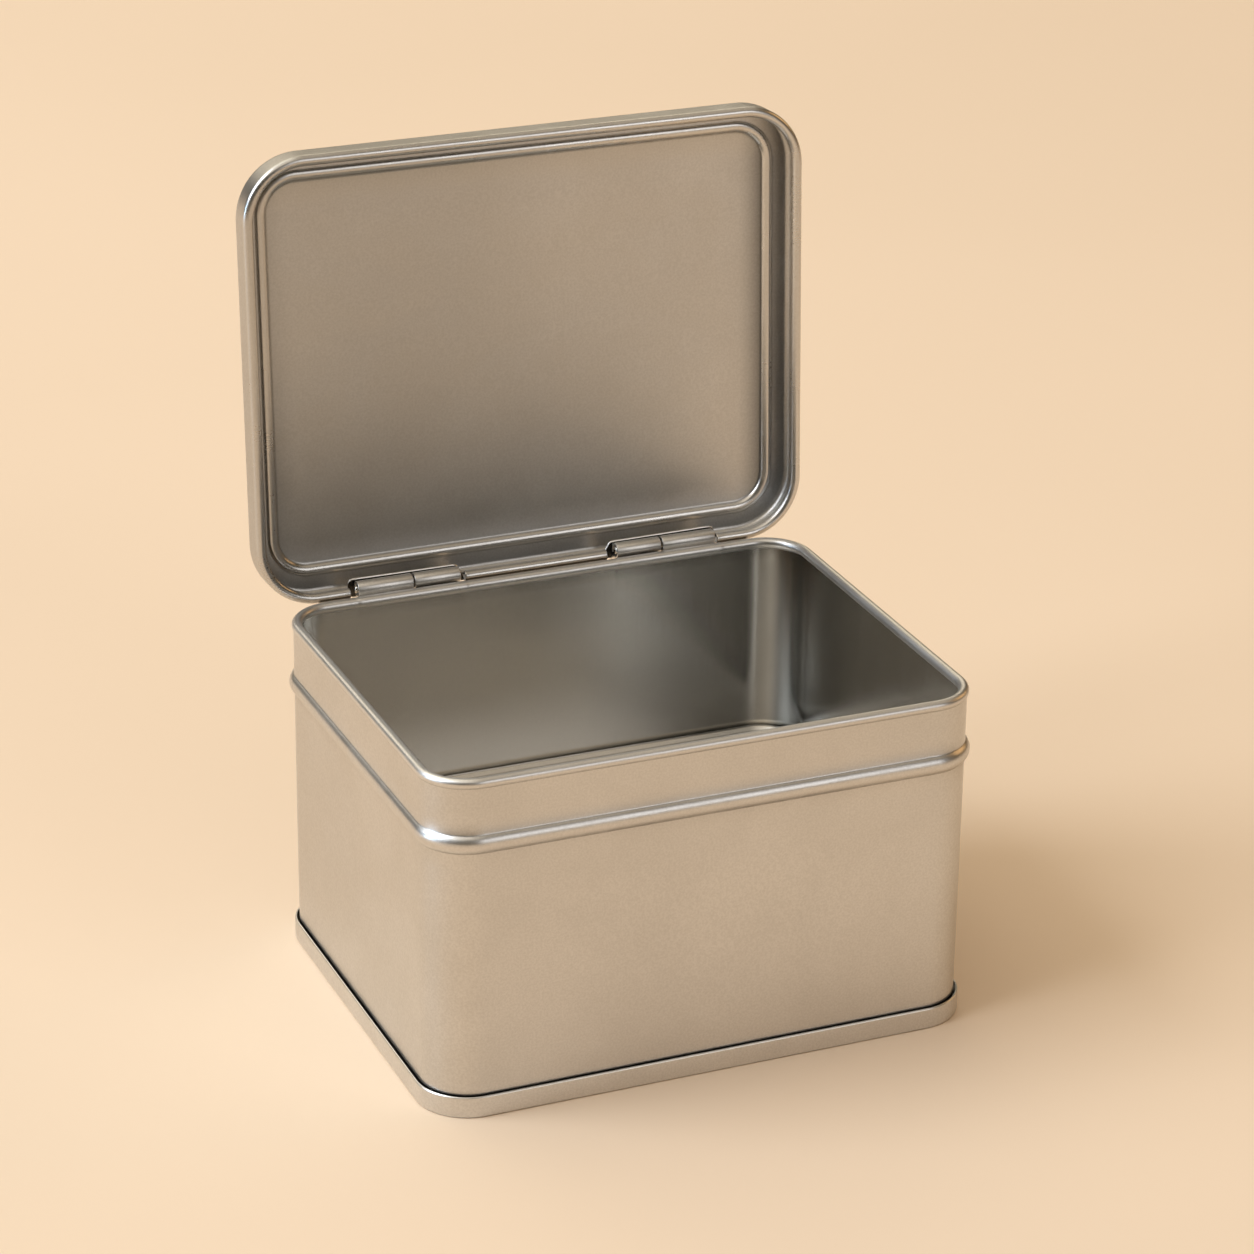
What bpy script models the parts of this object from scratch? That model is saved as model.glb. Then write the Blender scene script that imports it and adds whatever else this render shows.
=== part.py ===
"""Hinged rectangular sheet-metal tin, shown with its lid standing open.

Frame: metres, +Z up, X along the long front side, -Y is the front, +Y the hinge
side. The origin is the middle of the base in plan, at the level of the surface
that the tin stands on.

The body is one wrapped wall sheet with a rolled inward rim and a pressed bead, a
bottom panel whose edge is folded up round the foot of the wall, a pressed floor that
stands on the bottom panel and lifts what the tin holds, a shallow lid with its own
rolled rim, and two rolled-knuckle hinges on wire pins at the back rim.
"""

import math

import bmesh
import bpy
from mathutils import Vector

MM = 0.001

# ---------------------------------------------------------------- driving dimensions
BODY_X = 110.0 * MM          # outside of the wall, left to right
BODY_Y = 87.0 * MM           # outside of the wall, front to back
BODY_Z = 69.0 * MM           # top of the rolled rim
BODY_R = 9.5 * MM            # plan radius of the wall's upright corners
SHEET = 0.3 * MM             # wall, bottom and lid sheet
GAP = 0.3 * MM               # between pieces that touch

WALL_FOOT = 0.75 * MM        # lowest edge of the wall, inside the folded bottom rim
BEAD_Z = 56.0 * MM           # middle of the bead
BEAD_HALF = 1.88 * MM        # half its height
BEAD_OUT = 1.0 * MM          # how far it stands out of the wall
RIM_TUBE = 1.05 * MM         # outer radius of the rolled rim
RIM_INSET = 0.72 * MM        # rim tube centre, inside the wall's outer face

SEAM_OUT = 0.9 * MM          # folded bottom rim, outside the wall
SEAM_Z = 4.4 * MM            # its height
SEAM_IN = 1.0 * MM           # inner side of the folded rim, inside the wall face
PANEL_Z = 0.9 * MM           # underside of the bottom panel
PANEL_BEAD = 0.6 * MM        # height of the stiffening bead near the panel's edge

FLOOR_Z = 27.3 * MM          # top of the raised floor's border
FLOOR_BORDER = 0.9 * MM      # radius of that border
FLOOR_DROP = 0.7 * MM        # the floor's flat lies this much lower
FLOOR_EDGE = 0.7 * MM        # its skirt, inside the wall's outer face, at the top
FLOOR_FOOT = 1.7 * MM        # and at the foot, where it stands on the bottom panel

LID_X = 114.9 * MM           # between the centres of the lid's rolled rim
LID_Y = 88.45 * MM
LID_R = 11.5 * MM            # plan radius along that centre line
LID_TUBE = 1.05 * MM         # outer radius of the lid's rolled rim
LID_DEPTH = 5.3 * MM         # outside of the flat ledge, above the rim centre
LID_CORNER = 1.5 * MM        # bend between the upright skirt and the ledge
LID_RIB_IN = 4.0 * MM        # middle of the rib, inside the rim centre
LID_RIB_HALF = 0.32 * MM     # half the width of its bottom
LID_RIB_SLOPE = 0.43 * MM    # width of its outer side
LID_RIB_DEPTH = 0.5 * MM     # the rib is pressed inwards this far
LID_PANEL_RISE = 0.8 * MM    # the top panel stands this much above the ledge

AXIS_Y = BODY_Y / 2 + 2.2 * MM   # hinge axis, behind the wall
AXIS_Z = BODY_Z + 0.55 * MM      # and just above the rim
LID_REAR = 1.0 * MM          # lid closed: rear rim centre behind the axis
LID_LIFT = 1.0 * MM          # lid closed: rim centre above the axis
OPEN_DEG = 93.0              # the lid stands open this far

KNUCKLE_R = 1.6 * MM         # outside of the rolled knuckles
LEAF = 0.5 * MM              # hinge strip
PIN_R = 0.8 * MM
HINGE_IN = 16.9 * MM         # inner end of each hinge, from the middle of the tin
HINGE_MID = 26.7 * MM        # where the two knuckles meet
HINGE_OUT = 38.4 * MM        # outer end
KNUCKLE_GAP = 0.45 * MM
NOTCH_IN = 16.3 * MM         # cut-out in the lid's rear skirt
NOTCH_OUT = 39.4 * MM
NOTCH_TOP = 4.6 * MM         # above the lid's rim centre
NOTCH_R = 0.9 * MM

CORNER_STEPS = 6             # facets in each upright corner

for old in list(bpy.data.objects):
    bpy.data.objects.remove(old, do_unlink=True)

PARTS = bpy.data.collections.new("hinged_metal_tin")
CUTTERS = bpy.data.collections.new("tin_cutters")
CUTTERS.hide_render = True
bpy.context.scene.collection.children.link(PARTS)
bpy.context.scene.collection.children.link(CUTTERS)


def material(name, colour, roughness, metallic=1.0):
    mat = bpy.data.materials.new(name)
    mat.use_nodes = True
    shader = mat.node_tree.nodes["Principled BSDF"]
    shader.inputs["Base Color"].default_value = (*colour, 1.0)
    shader.inputs["Roughness"].default_value = roughness
    shader.inputs["Metallic"].default_value = metallic
    return mat


TINPLATE = material("satin_tinplate", (0.56, 0.54, 0.50), 0.34)
TINPLATE_FLOOR = material("satin_tinplate_floor", (0.55, 0.53, 0.49), 0.36)
TINPLATE_LID = material("satin_tinplate_lid", (0.56, 0.54, 0.50), 0.34)
TINPLATE_BASE = material("satin_tinplate_base", (0.55, 0.53, 0.49), 0.36)
HINGE_STRIP = material("hinge_strip", (0.60, 0.58, 0.55), 0.28)
PIN_WIRE = material("pin_wire", (0.66, 0.65, 0.62), 0.22)


def add_object(name, data, collection=PARTS):
    obj = bpy.data.objects.new(name, data)
    collection.objects.link(obj)
    return obj


def polyline(name, points, closed):
    """A flat curve object through (x, y) points."""
    curve = bpy.data.curves.new(name, "CURVE")
    curve.dimensions = "2D"
    curve.fill_mode = "NONE"
    spline = curve.splines.new("POLY")
    spline.points.add(len(points) - 1)
    for point, (x, y) in zip(spline.points, points):
        point.co = (x, y, 0.0, 1.0)
    spline.use_cyclic_u = closed
    return add_object(name, curve)


def rounded_rectangle(size_x, size_y, radius, centre_y=0.0):
    """Counter-clockwise outline of a rectangle with round corners."""
    points = []
    for sx, sy, start in ((1, 1, 0), (-1, 1, 90), (-1, -1, 180), (1, -1, 270)):
        cx, cy = sx * (size_x / 2 - radius), sy * (size_y / 2 - radius)
        for step in range(CORNER_STEPS + 1):
            a = math.radians(start + 90.0 * step / CORNER_STEPS)
            points.append((cx + radius * math.cos(a), centre_y + cy + radius * math.sin(a)))
    return points


def arc(cu, cz, radius, first, last, steps):
    """Points round a circle, angles in degrees from the outward direction, up positive."""
    out = []
    for step in range(steps + 1):
        a = math.radians(first + (last - first) * step / steps)
        out.append((cu + radius * math.cos(a), cz + radius * math.sin(a)))
    return out


def inner_line(profile, thickness):
    """The section line's twin on the inner face of the sheet."""
    out = []
    last = len(profile) - 1
    for k, (u, z) in enumerate(profile):
        sides = []
        for a, b in ((k - 1, k), (k, k + 1)):
            if a < 0 or b > last:
                continue
            du, dz = profile[b][0] - profile[a][0], profile[b][1] - profile[a][1]
            length = math.hypot(du, dz)
            sides.append((dz / length, -du / length))
        nu, nz = sum(n[0] for n in sides), sum(n[1] for n in sides)
        length = math.hypot(nu, nz)
        nu, nz = nu / length, nz / length
        spread = nu * sides[0][0] + nz * sides[0][1]
        out.append((u - nu * thickness / spread, z - nz * thickness / spread))
    return out


def swept_body(name, outline, section, mat):
    """Closed section line swept round an outline, for a sheet whose two faces differ."""
    path = polyline(name + "_path", outline, True)
    line = polyline(name + "_section", [(-u, z) for u, z in section], True)
    path.data.bevel_mode = "OBJECT"
    path.data.bevel_object = line
    bpy.context.view_layer.update()
    graph = bpy.context.evaluated_depsgraph_get()
    mesh = bpy.data.meshes.new_from_object(path.evaluated_get(graph))
    mesh.name = name
    bpy.data.objects.remove(path, do_unlink=True)
    bpy.data.objects.remove(line, do_unlink=True)
    bm = bmesh.new()
    bm.from_mesh(mesh)
    bmesh.ops.remove_doubles(bm, verts=bm.verts, dist=0.00001)
    bmesh.ops.recalc_face_normals(bm, faces=bm.faces)
    bm.to_mesh(mesh)
    bm.free()
    mesh.materials.clear()
    mesh.materials.append(mat)
    return add_object(name, mesh)


def swept_sheet(name, outline, profile, thickness, mat, fill_middle=False):
    """Sheet swept round an outline: profile points are (outward, up) and run up the outside.

    The section travels round the outline as a bevel, the result becomes a mesh, and
    Solidify gives it its thickness on the inner side. fill_middle closes the panel.
    """
    path = polyline(name + "_path", outline, True)
    section = polyline(name + "_section", [(-u, z) for u, z in profile], False)
    path.data.bevel_mode = "OBJECT"
    path.data.bevel_object = section
    bpy.context.view_layer.update()
    graph = bpy.context.evaluated_depsgraph_get()
    mesh = bpy.data.meshes.new_from_object(path.evaluated_get(graph))
    mesh.name = name
    bpy.data.objects.remove(path, do_unlink=True)
    bpy.data.objects.remove(section, do_unlink=True)
    bm = bmesh.new()
    bm.from_mesh(mesh)
    bmesh.ops.remove_doubles(bm, verts=bm.verts, dist=0.00001)
    if fill_middle:
        panel_z = profile[0][1] if abs(profile[0][0]) > abs(profile[-1][0]) else profile[-1][1]
        inner = [
            e
            for e in bm.edges
            if e.is_boundary and all(abs(v.co.z - panel_z) < 1e-6 for v in e.verts)
        ]
        bmesh.ops.contextual_create(bm, geom=inner)
        bmesh.ops.recalc_face_normals(bm, faces=bm.faces)
        outermost = max(bm.faces, key=lambda f: abs(f.calc_center_median().x))
        if outermost.normal.x * outermost.calc_center_median().x < 0:
            bmesh.ops.reverse_faces(bm, faces=bm.faces)
    bm.to_mesh(mesh)
    bm.free()
    mesh.materials.clear()
    mesh.materials.append(mat)
    obj = add_object(name, mesh)
    mod = obj.modifiers.new("sheet", "SOLIDIFY")
    mod.thickness = thickness
    mod.offset = -1.0
    mod.use_even_offset = True
    mod.use_rim = True
    return obj


def smooth(obj, degrees=35.0):
    obj.data.shade_smooth()
    obj.data.set_sharp_from_angle(angle=math.radians(degrees))


# ---------------------------------------------------------------- wall
rim_z = BODY_Z - RIM_TUBE
leave = math.degrees(math.acos(RIM_INSET / RIM_TUBE))
bead_r = (BEAD_HALF**2 + BEAD_OUT**2) / (2 * BEAD_OUT)
bead_turn = math.degrees(math.asin(BEAD_HALF / bead_r))
bead = arc(BEAD_OUT - bead_r, BEAD_Z, bead_r, -bead_turn, bead_turn, 8)
wall_profile = (
    [(0.0, WALL_FOOT)]
    + bead
    + arc(-RIM_INSET, rim_z, RIM_TUBE, -leave, 0, 2)
    + arc(-RIM_INSET, rim_z, RIM_TUBE, 0, 230, 9)[1:]
)
# the bead is a solid ridge on the outside: the wall's inner face runs straight past it
wall_inside = [
    (-SHEET, z) if abs(z - BEAD_Z) < 2 * BEAD_HALF else (u, z)
    for u, z in inner_line(wall_profile, SHEET)
]
wall = swept_body(
    "body_wall",
    rounded_rectangle(BODY_X, BODY_Y, BODY_R),
    wall_profile + wall_inside[::-1],
    TINPLATE,
)
smooth(wall)

# ---------------------------------------------------------------- bottom
inner_u = -SEAM_IN
base_profile = (
    [
        (-7.2 * MM, PANEL_Z),
        (-6.3 * MM, PANEL_Z + 0.72 * PANEL_BEAD),
        (-5.2 * MM, PANEL_Z + PANEL_BEAD),
        (-4.1 * MM, PANEL_Z + 0.72 * PANEL_BEAD),
        (-3.2 * MM, PANEL_Z),
        (inner_u - 0.45 * MM, PANEL_Z),
        (inner_u - 0.1 * MM, PANEL_Z - 0.3 * MM),
        (inner_u + 0.1 * MM, 0.1 * MM),
        (inner_u + 0.4 * MM, 0.0),
        (SEAM_OUT - 0.45 * MM, 0.0),
    ]
    + arc(SEAM_OUT - 0.45 * MM, 0.45 * MM, 0.45 * MM, -60, 0, 2)
    + [(SEAM_OUT, SEAM_Z - 0.45 * MM)]
    + arc(SEAM_OUT - 0.3 * MM, SEAM_Z - 0.3 * MM, 0.3 * MM, 25, 75, 2)
)
bottom = swept_sheet(
    "bottom_panel",
    rounded_rectangle(BODY_X, BODY_Y, BODY_R),
    base_profile,
    SHEET,
    TINPLATE_BASE,
    fill_middle=True,
)
smooth(bottom)

# ---------------------------------------------------------------- raised floor
border_u = -FLOOR_EDGE - FLOOR_BORDER
border_z = FLOOR_Z - FLOOR_BORDER
floor_profile = (
    [(-FLOOR_FOOT, PANEL_Z + SHEET + GAP)]
    + arc(border_u, border_z, FLOOR_BORDER, 0, 145, 6)
)
last_u, last_z = floor_profile[-1]
floor_profile += [
    (last_u - 0.25 * MM, FLOOR_Z - FLOOR_DROP + 0.1 * MM),
    (last_u - 0.6 * MM, FLOOR_Z - FLOOR_DROP),
]
raised_floor = swept_sheet(
    "raised_floor",
    rounded_rectangle(BODY_X, BODY_Y, BODY_R),
    floor_profile,
    SHEET,
    TINPLATE_FLOOR,
    fill_middle=True,
)
smooth(raised_floor)

# ---------------------------------------------------------------- lid
axis = bpy.data.objects.new("lid_hinge_axis", None)
axis.location = (0.0, AXIS_Y, AXIS_Z)
axis.rotation_euler = (-math.radians(OPEN_DEG), 0.0, 0.0)
PARTS.objects.link(axis)

rib_top = LID_DEPTH - LID_RIB_DEPTH
lid_profile = (
    arc(0.0, 0.0, LID_TUBE, 110, 180, 3)
    + arc(0.0, 0.0, LID_TUBE, 180, 360, 8)[1:]
    + arc(LID_TUBE - LID_CORNER, LID_DEPTH - LID_CORNER, LID_CORNER, 0, 90, 5)
    + [
        (-LID_RIB_IN + LID_RIB_HALF + LID_RIB_SLOPE, LID_DEPTH),
        (-LID_RIB_IN + LID_RIB_HALF, rib_top),
        (-LID_RIB_IN - LID_RIB_HALF, rib_top),
        (-LID_RIB_IN - 0.8 * MM, LID_DEPTH + 0.4 * MM),
        (-LID_RIB_IN - 1.4 * MM, LID_DEPTH + 0.65 * MM),
        (-LID_RIB_IN - 2.6 * MM, LID_DEPTH + LID_PANEL_RISE),
    ]
)
lid = swept_sheet(
    "lid_shell",
    rounded_rectangle(LID_X, LID_Y, LID_R, centre_y=LID_REAR - LID_Y / 2),
    [(u, z + LID_LIFT) for u, z in lid_profile],
    SHEET,
    TINPLATE_LID,
    fill_middle=True,
)
lid.parent = axis

for side, sign in (("left", -1), ("right", 1)):
    x0, x1 = sorted((sign * NOTCH_IN, sign * NOTCH_OUT))
    bm = bmesh.new()
    bmesh.ops.create_cube(bm, size=1.0)
    low = Vector((x0, -2.4 * MM, -1.0 * MM))
    high = Vector((x1, 3.2 * MM, LID_LIFT + NOTCH_TOP))
    for v in bm.verts:
        v.co = Vector(
            (low[i] + (high[i] - low[i]) * (v.co[i] + 0.5) for i in range(3))
        )
    top_edges = [
        e
        for e in bm.edges
        if all(v.co.z > high.z - 1e-6 for v in e.verts)
        and abs(e.verts[0].co.x - e.verts[1].co.x) < 1e-6
    ]
    bmesh.ops.bevel(
        bm, geom=top_edges, offset=NOTCH_R, segments=4, profile=0.5, affect="EDGES"
    )
    mesh = bpy.data.meshes.new("notch_cutter_" + side)
    bm.to_mesh(mesh)
    bm.free()
    cutter = add_object("notch_cutter_" + side, mesh, CUTTERS)
    cutter.parent = axis
    cutter.display_type = "WIRE"
    cutter.hide_render = True
    cut = lid.modifiers.new("notch_" + side, "BOOLEAN")
    cut.operation = "DIFFERENCE"
    cut.solver = "EXACT"
    cut.object = cutter
smooth(lid)


# ---------------------------------------------------------------- hinges
def strip_sheet(name, runs, mat):
    """Bent strip: each run is (y, z points, x0, x1), extruded along X; runs share edges."""
    bm = bmesh.new()
    for points, x0, x1 in runs:
        row = [bm.verts.new((x0, y, z)) for y, z in points]
        edges = [bm.edges.new((row[i], row[i + 1])) for i in range(len(row) - 1)]
        grown = bmesh.ops.extrude_edge_only(bm, edges=edges)["geom"]
        moved = [g for g in grown if isinstance(g, bmesh.types.BMVert)]
        bmesh.ops.translate(bm, verts=moved, vec=(x1 - x0, 0.0, 0.0))
    bmesh.ops.remove_doubles(bm, verts=bm.verts, dist=0.00001)
    bmesh.ops.recalc_face_normals(bm, faces=bm.faces)
    mesh = bpy.data.meshes.new(name)
    bm.to_mesh(mesh)
    bm.free()
    mesh.materials.append(mat)
    obj = add_object(name, mesh)
    mod = obj.modifiers.new("strip", "SOLIDIFY")
    mod.thickness = LEAF
    mod.offset = 0.0
    mod.use_even_offset = True
    mod.use_rim = True
    return obj


roll = KNUCKLE_R - LEAF / 2
wall_back = BODY_Y / 2 - AXIS_Y          # wall's back face, measured from the axis
foot = wall_back + 0.6 * MM              # middle of the strip lying on the wall
half_gap = KNUCKLE_GAP / 2

for side, sign in (("left", -1), ("right", 1)):
    x_in, x_mid, x_out = (sign * HINGE_IN, sign * HINGE_MID, sign * HINGE_OUT)
    x_lid, x_body = x_mid - sign * half_gap, x_mid + sign * half_gap

    # body leaf: strip down the back of the neck, rolled knuckle on its outer half,
    # folded tongue on its inner half that the open lid's leaf comes to rest on
    lower = [(foot, -9.0 * MM - 0.25 * MM), (foot, -3.6 * MM)]
    rolled = [(foot, -3.6 * MM), (-roll, -2.3 * MM)] + [
        (roll * math.cos(math.radians(a)), roll * math.sin(math.radians(a)))
        for a in range(180, -121, -20)
    ]
    tongue = [
        (foot, -3.6 * MM),
        (foot, -2.6 * MM),
        (foot + 0.35 * MM, -2.25 * MM),
        (0.55 * MM, -2.25 * MM),
    ]
    body_leaf = strip_sheet(
        "hinge_body_leaf_" + side,
        [
            (lower, x_in, x_lid),
            (lower, x_lid, x_body),
            (lower, x_body, x_out),
            (rolled, x_body, x_out),
            (tongue, x_in, x_lid),
        ],
        HINGE_STRIP,
    )
    body_leaf.location = (0.0, AXIS_Y, AXIS_Z)
    smooth(body_leaf)

    # lid leaf: knuckle on the inner half, plate up the skirt and over its corner
    wrap = [
        (roll * math.cos(math.radians(a)), roll * math.sin(math.radians(a)))
        for a in range(-300, 1, 20)
    ]
    hug_r = LID_CORNER + GAP + LEAF / 2
    hug_y = LID_REAR + LID_TUBE - LID_CORNER
    hug_z = LID_LIFT + LID_DEPTH - LID_CORNER
    rise = [
        (roll, 0.0),
        (roll, 0.5 * MM),
        (roll + 0.12 * MM, 1.0 * MM),
        (hug_y + hug_r - 0.25 * MM, 2.1 * MM),
        (hug_y + hug_r, 2.7 * MM),
    ]
    plate = [(hug_y + hug_r, 2.7 * MM)] + [
        (hug_y + hug_r * math.cos(math.radians(a)), hug_z + hug_r * math.sin(math.radians(a)))
        for a in (0, 18, 36, 54, 72, 90)
    ]
    plate.append((hug_y - 2.0 * MM, hug_z + hug_r))
    lid_leaf = strip_sheet(
        "hinge_lid_leaf_" + side,
        [
            (wrap, x_in, x_lid),
            (rise, x_in, x_lid),
            (plate, x_in, x_lid),
            (plate, x_lid, x_out),
        ],
        HINGE_STRIP,
    )
    lid_leaf.parent = axis
    smooth(lid_leaf)

    # pin: a short wire through both knuckles
    bm = bmesh.new()
    length = HINGE_OUT - HINGE_IN + 0.6 * MM
    bmesh.ops.create_cone(
        bm, cap_ends=True, segments=20, radius1=PIN_R, radius2=PIN_R, depth=length
    )
    mesh = bpy.data.meshes.new("hinge_pin_" + side)
    bm.to_mesh(mesh)
    bm.free()
    mesh.materials.append(PIN_WIRE)
    pin = add_object("hinge_pin_" + side, mesh)
    pin.location = (sign * (HINGE_IN + HINGE_OUT + 0.4 * MM) / 2, AXIS_Y, AXIS_Z)
    pin.rotation_euler = (0.0, math.radians(90.0), 0.0)
    edge = pin.modifiers.new("worn_end", "BEVEL")
    edge.width = 0.2 * MM
    edge.segments = 2
    edge.limit_method = "ANGLE"
    smooth(pin)
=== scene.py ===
"""The looks of the hinged metal tin: satin tinplate sheet, rolled rims, knuckle hinges,
a cream sweep and soft studio light. Every size is in metres, in the frame of the part."""

import math

import bmesh
import bpy
import numpy as np
from mathutils import Matrix, Vector


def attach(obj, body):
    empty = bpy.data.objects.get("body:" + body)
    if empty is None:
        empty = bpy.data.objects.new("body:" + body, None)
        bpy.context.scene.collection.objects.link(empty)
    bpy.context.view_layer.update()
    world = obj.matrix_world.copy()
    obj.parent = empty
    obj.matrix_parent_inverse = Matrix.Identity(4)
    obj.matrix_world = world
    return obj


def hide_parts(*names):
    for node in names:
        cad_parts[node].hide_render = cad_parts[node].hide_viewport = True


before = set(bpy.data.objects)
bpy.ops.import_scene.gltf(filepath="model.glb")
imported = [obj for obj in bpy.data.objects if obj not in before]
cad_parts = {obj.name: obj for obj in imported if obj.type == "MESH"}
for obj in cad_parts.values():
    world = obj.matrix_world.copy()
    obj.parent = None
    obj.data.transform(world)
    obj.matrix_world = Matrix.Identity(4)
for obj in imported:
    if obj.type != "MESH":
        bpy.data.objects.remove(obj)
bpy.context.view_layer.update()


MM = 0.001

# ------------------------------------------------------------------ dimensions
BODY_X, BODY_Y, BODY_Z, BODY_R = 110.0 * MM, 87.0 * MM, 69.0 * MM, 9.5 * MM
SHEET = 0.26 * MM
RIM_TUBE, RIM_INSET = 1.05 * MM, 0.72 * MM
BEAD_Z, BEAD_HALF, BEAD_OUT = 56.0 * MM, 1.86 * MM, 0.98 * MM
SEAM_OUT, SEAM_Z = 0.88 * MM, 4.38 * MM
PANEL_Z = 0.9 * MM
FLOOR_Z = 27.3 * MM

LID_X, LID_Y, LID_R = 114.8 * MM, 88.4 * MM, 11.5 * MM
LID_TUBE = 1.05 * MM
LID_DEPTH, LID_CORNER = 5.3 * MM, 1.5 * MM
LID_RIB_U, LID_RIB_DEPTH = -4.0 * MM, 0.5 * MM
LID_REAR, LID_LIFT = 1.0 * MM, 1.0 * MM
AXIS_Y, AXIS_Z = BODY_Y / 2 + 2.2 * MM, BODY_Z + 0.55 * MM
OPEN = math.radians(-93.0)

KNUCKLE_R, LEAF, PIN_R = 1.6 * MM, 0.46 * MM, 0.8 * MM
HINGE_IN, HINGE_MID, HINGE_OUT = 16.9 * MM, 26.7 * MM, 38.4 * MM
KNUCKLE_GAP = 0.42 * MM
NOTCH_IN, NOTCH_OUT, NOTCH_TOP, NOTCH_R = 15.3 * MM, 39.6 * MM, 4.5 * MM, 0.8 * MM


# ------------------------------------------------------------------ shape helpers
def arc(cu, cz, radius, first, last, steps):
    out = []
    for k in range(steps + 1):
        a = math.radians(first + (last - first) * k / steps)
        out.append((cu + radius * math.cos(a), cz + radius * math.sin(a)))
    return out


def fillet(points, step=9.0):
    """A section line through (u, z, radius) corners, each rounded by its radius."""
    out = []
    n = len(points)
    for i, (u, z, r) in enumerate(points):
        if i in (0, n - 1) or r <= 0:
            out.append((u, z))
            continue
        p = np.array((u, z))
        a = np.array(points[i - 1][:2]) - p
        b = np.array(points[i + 1][:2]) - p
        la, lb = np.linalg.norm(a), np.linalg.norm(b)
        a, b = a / la, b / lb
        turn = math.pi - math.acos(max(-1.0, min(1.0, float(a @ b))))
        if turn < 1e-4:
            out.append((u, z))
            continue
        d = r * math.tan(turn / 2)
        start, end = p + a * d, p + b * d
        mid = (a + b) / np.linalg.norm(a + b)
        centre = p + mid * r / math.cos(turn / 2)
        a0 = math.atan2(*(start - centre)[::-1])
        a1 = math.atan2(*(end - centre)[::-1])
        sweep = (a1 - a0 + math.pi) % (2 * math.pi) - math.pi
        steps = max(2, int(math.degrees(abs(sweep)) / step + 0.5))
        for k in range(steps + 1):
            t = a0 + sweep * k / steps
            out.append((centre[0] + r * math.cos(t), centre[1] + r * math.sin(t)))
    return out


def densify(points, longest):
    """The same line with no piece longer than the given length."""
    out = [points[0]]
    for p, q in zip(points, points[1:]):
        d = math.hypot(q[0] - p[0], q[1] - p[1])
        n = max(1, int(math.ceil(d / longest)))
        for k in range(1, n + 1):
            out.append((p[0] + (q[0] - p[0]) * k / n, p[1] + (q[1] - p[1]) * k / n))
    return out


def ring(size_x, size_y, radius, corner=24, back_xs=None, cy=0.0, pitch=4.0 * MM):
    """Stations round a rectangle with round corners, counter-clockwise: anchor points
    and outward directions. A point at offset u is anchor + direction * (radius + u)."""
    ax, ay = size_x / 2 - radius, size_y / 2 - radius
    nx = max(2, int(round(2 * ax / pitch)))
    ny = max(2, int(round(2 * ay / pitch)))
    anchors, normals = [], []

    def straight(points, normal):
        for p in points:
            anchors.append(p)
            normals.append(normal)

    def turn(cx, cyy, start):
        for k in range(1, corner):
            t = math.radians(start + 90.0 * k / corner)
            anchors.append((cx, cyy))
            normals.append((math.cos(t), math.sin(t)))

    ys = [-ay + 2 * ay * k / ny for k in range(ny + 1)]
    xs = [-ax + 2 * ax * k / nx for k in range(nx + 1)]
    back = sorted(back_xs) if back_xs is not None else xs
    straight([(ax, y) for y in ys], (1.0, 0.0))
    turn(ax, ay, 0)
    straight([(x, ay) for x in reversed(back)], (0.0, 1.0))
    turn(-ax, ay, 90)
    straight([(-ax, y) for y in reversed(ys)], (-1.0, 0.0))
    turn(-ax, -ay, 180)
    straight([(x, -ay) for x in xs], (0.0, -1.0))
    turn(ax, -ay, 270)
    anchors = np.array(anchors)
    anchors[:, 1] += cy
    return anchors, np.array(normals), radius, (0.0, cy)


def offset_line(profile, thickness):
    """The section line's twin on the sheet's other face."""
    p = np.array(profile)
    d = np.diff(p, axis=0)
    d /= np.linalg.norm(d, axis=1)[:, None]
    nrm = np.stack([d[:, 1], -d[:, 0]], axis=1)
    out = []
    for k in range(len(p)):
        a, b = nrm[max(k - 1, 0)], nrm[min(k, len(nrm) - 1)]
        mid = (a + b) / np.linalg.norm(a + b)
        out.append(tuple(p[k] - mid * thickness / max(0.5, float(mid @ a))))
    return out


def section_bend(profile):
    """Signed bend of the section at each point, in 1/m: above 0 where it bulges out."""
    p = np.array(profile)
    out = np.zeros(len(p))
    for i in range(1, len(p) - 1):
        a, b = p[i] - p[i - 1], p[i + 1] - p[i]
        la, lb = np.linalg.norm(a), np.linalg.norm(b)
        if la < 1e-9 or lb < 1e-9:
            continue
        cross = a[0] * b[1] - a[1] * b[0]
        out[i] = math.asin(max(-1, min(1, cross / la / lb))) / (0.5 * (la + lb))
    return out


def new_object(name, bm_or_mesh, mat=None):
    if isinstance(bm_or_mesh, bmesh.types.BMesh):
        mesh = bpy.data.meshes.new(name)
        bm_or_mesh.to_mesh(mesh)
        bm_or_mesh.free()
    else:
        mesh = bm_or_mesh
    obj = bpy.data.objects.new(name, mesh)
    bpy.context.scene.collection.objects.link(obj)
    if mat is not None:
        mesh.materials.clear()
        mesh.materials.append(mat)
    return obj


def mark_free_edges(bm):
    """Marks the sheet's free edges, which are rounded once the sheet is thickened."""
    weight = bm.edges.layers.float.new("bevel_weight_edge")
    for e in bm.edges:
        if e.is_boundary:
            e[weight] = 1.0


def settle(obj, sharp=40.0):
    """Applies the object's modifiers and shades it smooth with sharp creases kept."""
    bpy.context.view_layer.update()
    graph = bpy.context.evaluated_depsgraph_get()
    mesh = bpy.data.meshes.new_from_object(
        obj.evaluated_get(graph), preserve_all_data_layers=True, depsgraph=graph
    )
    mesh.name = obj.name
    old = obj.data
    obj.modifiers.clear()
    obj.data = mesh
    if old.users == 0:
        bpy.data.meshes.remove(old)
    mesh.shade_smooth()
    mesh.set_sharp_from_angle(angle=math.radians(sharp))
    return obj


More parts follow.
